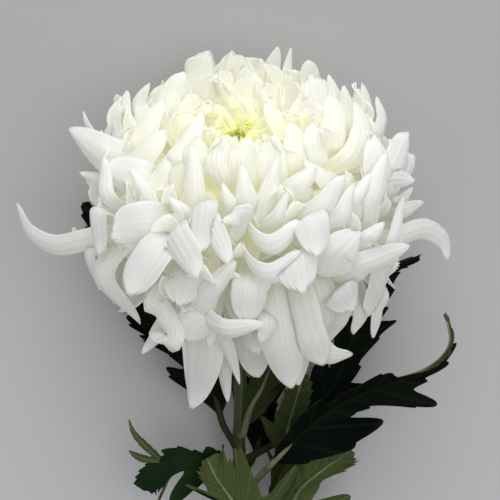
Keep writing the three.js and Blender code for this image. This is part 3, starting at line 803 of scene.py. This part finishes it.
# Each row: the framed points that a floret passes through, its width in millimetres, how far it is
# rolled up in degrees, how pointed it is and, where it matters, its own number from 0 to 1.
LEADING = {
    "rising_florets": [  # upright boats
        ([(244, 222, 40), (246, 205, 58), (241, 164, 59)], 10, 110, 1),
        ([(254, 228, 42), (266, 206, 56), (281, 156, 58)], 8.5, 110, 1),
        ([(240, 228, 40), (232, 210, 57), (221, 183, 58)], 7, 110, 0.9),
        ([(255, 232, 40), (275, 222, 56), (288, 192, 58)], 7, 120, 0.9),
        ([(192, 222, 38), (189, 196, 53), (186, 144, 52)], 9, 120, 0.8),
        ([(186, 226, 42), (182, 214, 54), (169, 197, 55)], 9, 90, 0.9),
        ([(213, 222, 38), (213, 208, 48), (209, 189, 52)], 9, 90, 0.5),
        ([(224, 220, 38), (222, 208, 46), (218, 195, 50)], 7, 90, 0.7),
        ([(306, 216, 38), (311, 204, 47), (317, 188, 50)], 9, 90, 0.6),
        ([(148, 222, 32), (140, 200, 44), (125, 169, 46)], 11, 90, 1),
        ([(140, 214, 22), (104, 200, 38), (101, 157, 34)], 9, 110, 0.7),
        ([(145, 168, 20), (108, 156, 24), (70, 126, 16)], 15, 80, 0.8),
        ([(130, 196, 12), (104, 184, 16), (79, 173, 12)], 8, 90, 1),
        ([(288, 224, 40), (322, 210, 54), (345, 175, 52)], 9.5, 110, 0.6),
        ([(300, 230, 40), (344, 224, 52), (359, 186, 50)], 10, 110, 0.7),
        ([(350, 240, 26), (370, 202, 44), (382, 149, 38)], 12, 100, 0.9),
        ([(350, 230, 30), (355, 205, 48), (368, 172, 46)], 9, 110, 0.8),
        ([(275, 205, 40), (296, 190, 56), (316, 167, 56)], 10, 100, 0.6),
        ([(345, 200, 36), (332, 178, 52), (307, 155, 54)], 10, 80, 0.9),
        ([(345, 254, 30), (365, 239, 46), (382, 219, 42)], 8, 110, 0.5),
        ([(318, 274, 36), (336, 256, 54), (361, 230, 52)], 15, 100, 0.2),
        ([(325, 276, 30), (365, 264, 44), (409, 240, 30)], 10, 110, 0.6),
        ([(375, 268, 16), (396, 240, 26), (404, 194, 18)], 8, 100, 0.9),
        ([(360, 184, 22), (394, 168, 26), (406, 129, 18)], 15, 90, 0.3),
        ([(360, 178, 24), (398, 168, 22), (413, 150, 12)], 12, 90, 0.2),
        ([(365, 186, 20), (394, 178, 26), (415, 182, 20)], 10, 100, 0.6),
        ([(375, 210, 12), (400, 202, 18), (412, 184, 10)], 7, 90, 0.9),
        ([(370, 214, 12), (404, 212, 18), (424, 203, 10)], 8, 90, 0.8),
        ([(370, 190, 30), (380, 158, 36), (374, 134, 34)], 14, 100, 0),
        ([(180, 168, 44), (190, 142, 44), (207, 112, 40)], 10, 90, 0.7),
        ([(172, 190, 40), (184, 168, 48), (212, 157, 46)], 9, 90, 0.6),
        ([(150, 205, 36), (165, 180, 44), (178, 152, 42)], 11, 90, 0.5),
        ([(128, 180, 26), (142, 152, 34), (163, 128, 34)], 12, 90, 0.4),
    ],
    "arching_florets": [  # over the rim of the bowl
        ([(218, 185, 46), (209, 160, 51), (215, 137, 43)], 8, 100, 0.3),
        ([(228, 188, 47), (221, 160, 53), (231, 138, 44)], 8.5, 100, 0.2),
        ([(238, 192, 46), (233, 162, 52), (240, 141, 44)], 7.5, 100, 0.4),
        ([(246, 195, 47), (245, 160, 54), (253, 137, 45)], 9, 90, 0.1),
        ([(256, 195, 46), (256, 164, 52), (262, 142, 44)], 7.5, 100, 0.3),
        ([(266, 195, 47), (268, 162, 53), (270, 139, 44)], 9, 90, 0.1),
        ([(276, 190, 45), (281, 160, 50), (279, 134, 42)], 7.5, 100, 0.4),
        ([(290, 180, 42), (294, 150, 46), (284, 122, 38)], 10, 90, 0.3),
        ([(314, 175, 38), (312, 148, 44), (309, 122, 40)], 9, 100, 0.2),
        ([(200, 178, 44), (198, 156, 50), (204, 136, 43)], 10, 90, 0.3),
        ([(292, 150, 34), (281, 124, 33), (264, 103, 30)], 10, 80, 0.6),
        # arched over, tips down
        ([(204, 226, 42), (205, 202, 58), (200, 253, 59)], 8.5, 70, 0),
        ([(216, 240, 42), (210, 220, 58), (231, 264, 60)], 8, 90, 0.1),
        ([(238, 242, 42), (247, 214, 59), (221, 223, 60)], 8, 100, 0.6),
        ([(290, 236, 42), (306, 218, 59), (314, 258, 60)], 12.5, 70, 0),
        ([(285, 262, 40), (300, 252, 57), (313, 292, 57)], 15, 80, 0),
        ([(188, 246, 40), (172, 233, 57), (196, 280, 58)], 12, 90, 0.2),
        ([(180, 232, 40), (160, 250, 54), (135, 300, 52)], 13, 50, 0),
        ([(190, 260, 36), (188, 274, 47), (184, 308, 45)], 15, 60, 0),
        ([(182, 238, 36), (150, 233, 46), (112, 245, 42)], 19, 95, 0.1),
        ([(128, 214, 26), (98, 210, 34), (102, 256, 30)], 10, 90, 0.3),
        ([(340, 282, 28), (346, 284, 42), (362, 305, 36)], 16, 70, 0.1),
        ([(172, 204, 24), (140, 184, 40), (101, 172, 34)], 15, 100, 0.3),
        # scoops that lie across
        (
            [(247, 222, 44), (251, 235, 53), (261, 244, 57), (274, 245, 59), (287, 236, 59), (299, 220, 58)],
            8, 80, 0.3, 0.04,
        ),
        (
            [(244, 248, 42), (248, 263, 51), (259, 272, 56), (273, 273, 58), (287, 264, 58), (300, 249, 58)],
            8.5, 80, 0.3, 0.08,
        ),
        ([(201, 314, 30), (209, 296, 48), (237, 262, 50)], 9, 100, 0.5),
        ([(200, 300, 28), (220, 328, 48), (264, 320, 48)], 9.5, 120, 0.5),
    ],
    "hanging_florets": [  # and curling at their tips
        ([(124, 240, 22), (98, 280, 24), (140, 324, 14)], 12, 100, 0.8),
        ([(112, 226, 14), (86, 252, 18), (98, 290, 12)], 8, 100, 0.8),
        ([(196, 292, 30), (202, 314, 40), (178, 340, 36)], 14, 80, 0.1),
        ([(156, 294, 33), (162, 313, 37), (172, 333, 39), (165, 345, 38), (148, 335, 33)], 7.5, 115, 0.25),
        ([(165, 325, 20), (158, 340, 22), (145, 356, 20)], 6, 90, 0.6),
        ([(258, 262, 36), (252, 286, 49), (250, 324, 45)], 13, 60, 0.1),
        ([(196, 290, 22), (203, 348, 24), (199, 388, 16), (192, 409, 13)], 16, 45, 0.8),
        ([(232, 320, 14), (225, 366, 16), (228, 402, 8)], 6, 60, 0.8),
        ([(212, 318, 26), (226, 346, 28), (239, 384, 20)], 6.5, 80, 1),
        ([(214, 296, 34), (211, 322, 38), (206, 347, 34)], 6, 80, 0.7),
        ([(272, 285, 38), (277, 340, 40), (285, 390, 28)], 15, 60, 0.4),
        ([(266, 304, 38), (270, 324, 44), (261, 343, 42)], 8, 80, 0.2),
        ([(250, 310, 18), (254, 342, 20), (264, 377, 12)], 13, 60, 0.3),
        ([(294, 284, 38), (305, 335, 40), (319, 368, 33)], 12.5, 65, 0.1),
        ([(308, 322, 26), (318, 346, 31), (334, 357, 33), (353, 354, 31)], 9, 110, 0),
        ([(300, 320, 22), (305, 350, 24), (302, 385, 16)], 7.5, 80, 0.2),
        ([(316, 276, 34), (328, 308, 36), (326, 344, 28)], 11, 70, 0.3),
        ([(340, 296, 22), (346, 320, 24), (331, 343, 20)], 9, 80, 0.4),
        ([(382, 242, 14), (380, 283, 21), (365, 317, 19)], 14, 70, 0.1),
        ([(376, 280, 12), (377, 312, 16), (370, 339, 12)], 8, 80, 0.2),
        ([(356, 296, 18), (360, 316, 20), (350, 334, 18)], 8, 80, 0.2),
        ([(134, 244, 14), (126, 276, 18), (124, 303, 12)], 10, 70, 0.2),
        ([(160, 270, 22), (158, 296, 24), (162, 322, 18)], 9, 70, 0.2),
        # straying out at the sides
        ([(112, 232, 22), (86, 240, 20), (54, 246, 12), (28, 232, 5), (17, 203, 4)], 8, 80, 0.3),
        ([(385, 240, 18), (404, 235, 18), (428, 228, 12), (447, 240, 6), (450, 260, 3)], 8, 90, 0.3),
    ],
    "wall_florets": [  # broad, far side of the bowl
        ([(238, 128, 4), (236, 98, 4), (240, 62, 12)], 19, 60, 0),
        ([(246, 128, 4), (262, 96, 4), (268, 64, 12)], 19, 60, 0),
        ([(228, 132, 6), (206, 104, 8), (208, 72, 15)], 17, 60, 0.1),
        ([(254, 130, 6), (286, 106, 8), (292, 76, 14)], 17, 60, 0.1),
        ([(222, 138, 12), (192, 122, 18), (186, 94, 24)], 15, 70, 0.2),
        ([(258, 136, 12), (302, 122, 18), (308, 94, 22)], 16, 70, 0.1),
        ([(240, 132, 8), (250, 106, 9), (254, 80, 17)], 17, 70, 0),
        ([(234, 132, 8), (222, 108, 10), (224, 84, 18)], 16, 70, 0),
        ([(250, 132, 8), (274, 112, 10), (281, 90, 18)], 16, 70, 0),
        ([(226, 138, 14), (202, 124, 16), (200, 104, 22)], 13, 80, 0.2),
        ([(254, 138, 14), (286, 128, 17), (296, 110, 23)], 14, 80, 0.1),
        ([(238, 134, 12), (236, 116, 12), (240, 98, 20)], 12, 80, 0.1),
        ([(246, 134, 12), (260, 118, 13), (266, 102, 20)], 12, 80, 0.1),
        ([(230, 136, 12), (216, 120, 14), (214, 102, 20)], 11, 80, 0.2),
        ([(250, 138, 14), (274, 126, 16), (284, 116, 22)], 11, 80, 0.2),
    ],
    "heart_straps": [  # narrow, still yellow, round the heart
        ([(232, 140, 16), (222, 132, 18), (216, 122, 23)], 6, 90, 0.4),
        ([(234, 138, 16), (226, 126, 17), (224, 114, 23)], 6, 90, 0.5),
        ([(230, 140, 20), (219, 134, 24), (209, 128, 28)], 5, 90, 0.5),
        ([(238, 136, 12), (244, 118, 12), (252, 103, 17)], 9, 90, 0.4),
        ([(244, 138, 16), (256, 126, 17), (266, 114, 21)], 6, 90, 0.4),
        ([(244, 140, 18), (260, 131, 20), (274, 123, 23)], 5, 90, 0.4),
        ([(244, 142, 20), (260, 136, 22), (275, 131, 24)], 5, 90, 0.4),
        ([(244, 144, 21), (258, 141, 23), (270, 138, 25)], 4.5, 90, 0.5),
        ([(232, 138, 16), (232, 126, 16), (228, 116, 20)], 4.5, 90, 0.5),
        ([(236, 138, 16), (240, 126, 16), (240, 117, 20)], 4.5, 90, 0.5),
    ],
    "crest_florets": [  # the top of the outline
        ([(108, 146, 4), (90, 130, 4), (83, 111, 4)], 5, 70, 1),
        ([(128, 152, 8), (106, 138, 10), (108, 118, 10)], 8, 70, 0.6),
        ([(132, 150, 14), (114, 128, 12), (120, 102, 14)], 8.5, 65, 0.6),
        ([(146, 142, 14), (128, 118, 12), (132, 92, 14)], 9, 65, 0.9),
        ([(156, 132, 16), (136, 106, 12), (147, 81, 16)], 8.5, 65, 1),
        ([(166, 132, 16), (154, 106, 12), (160, 84, 16)], 9, 60, 0.3),
        ([(196, 146, 28), (175, 108, 20), (192, 77, 22)], 14, 65, 0.8),
        ([(222, 110, 12), (203, 84, 4), (213, 54, 8)], 13, 65, 0.6),
        ([(230, 100, 8), (226, 76, 2), (226, 52, 6)], 10, 65, 0.2),
        ([(242, 96, 4), (238, 72, 0), (233, 50, 4)], 8, 65, 0.9),
        ([(238, 104, 8), (242, 84, 6), (248, 57, 12)], 13, 60, 0.2),
        ([(258, 106, 8), (266, 86, 6), (262, 64, 12)], 13, 60, 0.2),
        ([(226, 108, 12), (220, 92, 12), (226, 70, 18)], 9.5, 65, 0.4),
        ([(246, 110, 14), (248, 96, 14), (248, 76, 20)], 12, 65, 0.3),
        ([(268, 112, 14), (276, 98, 14), (270, 80, 20)], 11, 65, 0.3),
        ([(284, 104, 0), (272, 78, -6), (277, 47, 2)], 8.5, 60, 0.6),
        ([(302, 98, -2), (288, 78, -4), (290, 48, 0)], 6.5, 65, 0.8),
        ([(312, 104, 0), (315, 82, -4), (309, 59, 2)], 10, 65, 0.2),
        ([(290, 136, 24), (306, 104, 16), (302, 76, 16)], 14, 60, 0.4),
        ([(324, 130, 16), (336, 100, 8), (330, 74, 10)], 8.5, 65, 0.9),
        ([(338, 136, 14), (350, 112, 10), (346, 85, 12)], 7.5, 65, 0.8),
        ([(352, 130, 4), (366, 108, 2), (360, 83, 4)], 7, 70, 1),
        ([(362, 146, 6), (382, 122, 6), (376, 97, 8)], 7.5, 65, 0.9),
        ([(345, 165, 28), (362, 130, 24), (354, 102, 24)], 10, 65, 0.8),
        ([(320, 150, 30), (334, 122, 26), (327, 94, 26)], 11.5, 65, 0.6),
        ([(146, 160, 24), (150, 128, 26), (168, 102, 26)], 10.5, 65, 0.7),
    ],
}


def laid_midline(f, t):
    """The curve from the dome through the points it is framed at, and the direction across it."""
    way = np.array([framed(*point) for point in f["way"]])
    seat = HEART + LEADING_SEAT * unit(way[0] - HEART)
    outward = unit(unit(way[1] - HEART - FACING_FROM * BLOOM_WAY) + f["to_camera"] * VIEW_WAY)
    side = unit(np.cross(way[-1] - way[0], outward))
    return spaced(threaded([seat, *way]), t), side


def leading_part(to_camera, way, width, roll, pointed, own=None):
    """One of them, the older the farther its tip is from the bowl."""
    f = {"way": way, "width": width, "roll": roll, "pointed": pointed, "to_camera": to_camera, "twist": 0}
    tip = way[-1]
    f["own"] = draw(tip[0] + 0.7 * tip[1], 81) if own is None else own
    f["rank"] = min(1, np.linalg.norm(framed(*tip) - HEART - BOWL_HEIGHT * BLOOM_WAY) / OLDEST_AWAY)
    return floret_part(f, 40, 19, laid_midline)


for name, rows in LEADING.items():
    to_camera = 1.2 if name == "crest_florets" else 0.5
    parts = [leading_part(to_camera, *row) for row in rows]
    piece(name, parts, petal_white, "petal", "bloom")

# ---------------------------------------------------------------- the bowl
# Half-grown florets that line the bowl at the top of the bloom: short, narrow and hooded, leaning in
# over the heart, pale yellow to cream.

BOWL = 40
RIM = 30


def bowl_floret(i):
    q = (i + 0.5) / BOWL
    return {
        "rank": 0.04 + 0.06 * q,
        "hang": 0,
        "azimuth": i * GOLDEN_ANGLE + 40,
        "seat_reach": mix(4, 9.5, q),
        "seat_height": 9,
        "reach": mix(7.5, 15, q) + spread(i, 71, 1.2),
        "height": mix(36, 42, q) + spread(i, 72, 1.5),
        "start": mix(4, 22, q),
        "tip": mix(-75, -45, q) + spread(i, 73, 15),
        "width": mix(4.4, 8, q),
        "roll": 105,
        "pointed": 0.3,
        "sway": spread(i, 74, 14),
        "twist": spread(i, 75, 22),
        "own": draw(i, 76),
    }


def rim_floret(i):
    q = (i + 0.5) / RIM
    front = math.sin(math.radians(i * GOLDEN_ANGLE))
    return {
        "rank": 0.12 + 0.12 * q,
        "hang": 0,
        "azimuth": i * GOLDEN_ANGLE,
        "seat_reach": mix(6, 10, q),
        "seat_height": 8,
        "reach": mix(15, 29, q) + spread(i, 77, 1.5),
        "height": mix(44, 47, q) - 4 * max(0, front) + spread(i, 78, 1.5),
        "start": mix(16, 34, q),
        "tip": mix(-38, -32, q) + spread(i, 79, 8),
        "width": mix(10, 13.5, q),
        "roll": 95,
        "pointed": 0.4 * draw(i, 80),
        "sway": spread(i, 91, 8),
        "twist": spread(i, 92, 14),
        "own": draw(i, 93),
    }


bowl_parts = [floret_part(f, 20, 11) for f in map(bowl_floret, range(BOWL)) if in_front(f) > SHOWN]
bowl_parts += [floret_part(f, 32, 17) for f in map(rim_floret, range(RIM)) if in_front(f) > SHOWN]
piece("bowl_florets", bowl_parts, petal_white, "petal", "bloom")

# ---------------------------------------------------------------- the heart
# The youngest florets: a tight button of small hooded straps, still lime green in the middle and
# yellow round it, at the bottom of the cream bowl that the next ones make.

YOUNG = 40
YOUNG_ASIDE = 2.4  # the heart has grown a little to one side


def young_floret(i):
    out = math.sqrt((i + 0.5) / YOUNG)
    return {
        "rank": 0.05 * out,
        "hang": 0,
        "azimuth": i * GOLDEN_ANGLE,
        "seat_reach": 5 * out,
        "seat_height": 16,
        "reach": 4.6 * out + spread(i, 10, 0.9),
        "height": 31 + 3 * out**2 + spread(i, 11, 1.4),
        "start": 5 + 12 * out,
        "tip": -60 * out + spread(i, 15, 30),
        "width": 1.6 + 1.2 * out,
        "roll": 110,
        "pointed": 0.5,
        "sway": spread(i, 12, 22),
        "twist": spread(i, 13, 35),
        "own": draw(i, 14),
    }


def young_skin():
    t, u, rank, own = growth_marks()
    cloud = grain(Shade.node("TexCoord", output="Object"), 300.0)
    lime = blend((0.3, 0.38, 0.02), (0.55, 0.6, 0.06), cloud)
    yellow = (rank.rise(0.025, 0.05) * 0.7 + t.rise(0.7, 1.0) * 0.3 + own * 0.2 - 0.1).clear()
    colour = blend(lime, (0.88, 0.88, 0.42), yellow)
    # painted light: the yellow florets of the heart glow
    painted_glow = blend((0.05, 0.06, 0.0), (0.5, 0.5, 0.08), yellow)
    rough = 0.45 + cloud * 0.15
    soft = bump(cloud, 0.2, 0.0003)
    return {"Base Color": colour, "Roughness": rough, "Emission Color": painted_glow, "Normal": soft}


young_lime = finish(
    "young_petal_skin",
    young_skin,
    {
        "Subsurface Weight": 0.3,
        "Subsurface Radius": (1.0, 0.9, 0.3),
        "Subsurface Scale": 0.002,
        # painted light: the strength of the heart's glow
        "Emission Strength": 0.3,
    },
)
young_parts = [floret_part(young_floret(i), 16, 9) for i in range(YOUNG)]
for part in young_parts:
    part["corners"] -= RIGHT * YOUNG_ASIDE
piece("young_florets", young_parts, young_lime, "young_petal", "centre_florets")

# ---------------------------------------------------------------- the table, the light and the camera
# A pale matt table top under a large soft lamp ahead of the bloom and a weaker one beside it. The camera
# looks down on the flower from ahead of the bloom, so that the stem runs away down the picture.


def table_skin():
    spot = Shade.node("TexCoord", output="Object")
    # painted light: the table is painted paler towards the front, standing in for light that the lamps don't
    # give there
    near = 1 - Shade.node("SeparateXYZ", {}, {0: spot}, output=1).rise(-0.06, 0.2)
    pale = blend((0.404, 0.396, 0.402), (0.505, 0.495, 0.505), near)
    cloud = grain(spot, 3.0)
    return {"Base Color": blend(pale, (0.45, 0.445, 0.45), cloud * 0.3), "Roughness": 0.8 + cloud * 0.1}


table = bpy.data.meshes.new("table_top")
table.from_pydata([(-3, -3, 0), (3, -3, 0), (3, 3, 0), (-3, 3, 0)], [], [(0, 1, 2, 3)])
table.materials.append(finish("pale_table", table_skin, {"Specular IOR Level": 0.2}))
floor = bpy.data.objects.new("table_top", table)
bpy.context.scene.collection.objects.link(floor)

LAMP_SIZE = 1.4  # in metres, as all from here on
LAMP_AWAY = 1.6
heart, aim = HEART * 0.001, VIEW_MIDDLE * 0.001


def looking(name, data, at, towards):
    """Places a lamp or camera so that it looks at a point, with the stem down the picture."""
    back = unit(at - towards)
    across = unit(np.cross(VIEW_UP, back))
    made = bpy.data.objects.new(name, data)
    turn = np.stack([across, np.cross(back, across), back, at], axis=-1)
    made.matrix_world = Matrix([*turn.tolist(), [0, 0, 0, 1]])
    bpy.context.scene.collection.objects.link(made)
    return made


def soft_lamp(name, way, power):
    lamp = bpy.data.lights.new(name, "AREA")
    lamp.size, lamp.energy = LAMP_SIZE, power
    looking(name, lamp, heart + unit(np.array(way)) * LAMP_AWAY, heart)


soft_lamp("key_lamp", (-0.05, 1.0, 0.5), 15.8)
soft_lamp("fill_lamp", (0.25, 0.2, 1.0), 10)

world = bpy.data.worlds.new("room")
bpy.context.scene.world = world
world.use_nodes = True
sky = world.node_tree.nodes["Background"]
sky.inputs["Color"].default_value = (0.97, 0.98, 1, 1)
sky.inputs["Strength"].default_value = 0.48
bpy.context.scene.view_settings.view_transform = "Standard"

camera = bpy.data.cameras.new("camera")
camera.sensor_width, camera.lens = 36, 18 / FRAME_HALF
camera.clip_start, camera.clip_end = 0.01, 20
bpy.context.scene.camera = looking("camera", camera, aim + VIEW_WAY * CAMERA_AWAY * 0.001, aim)
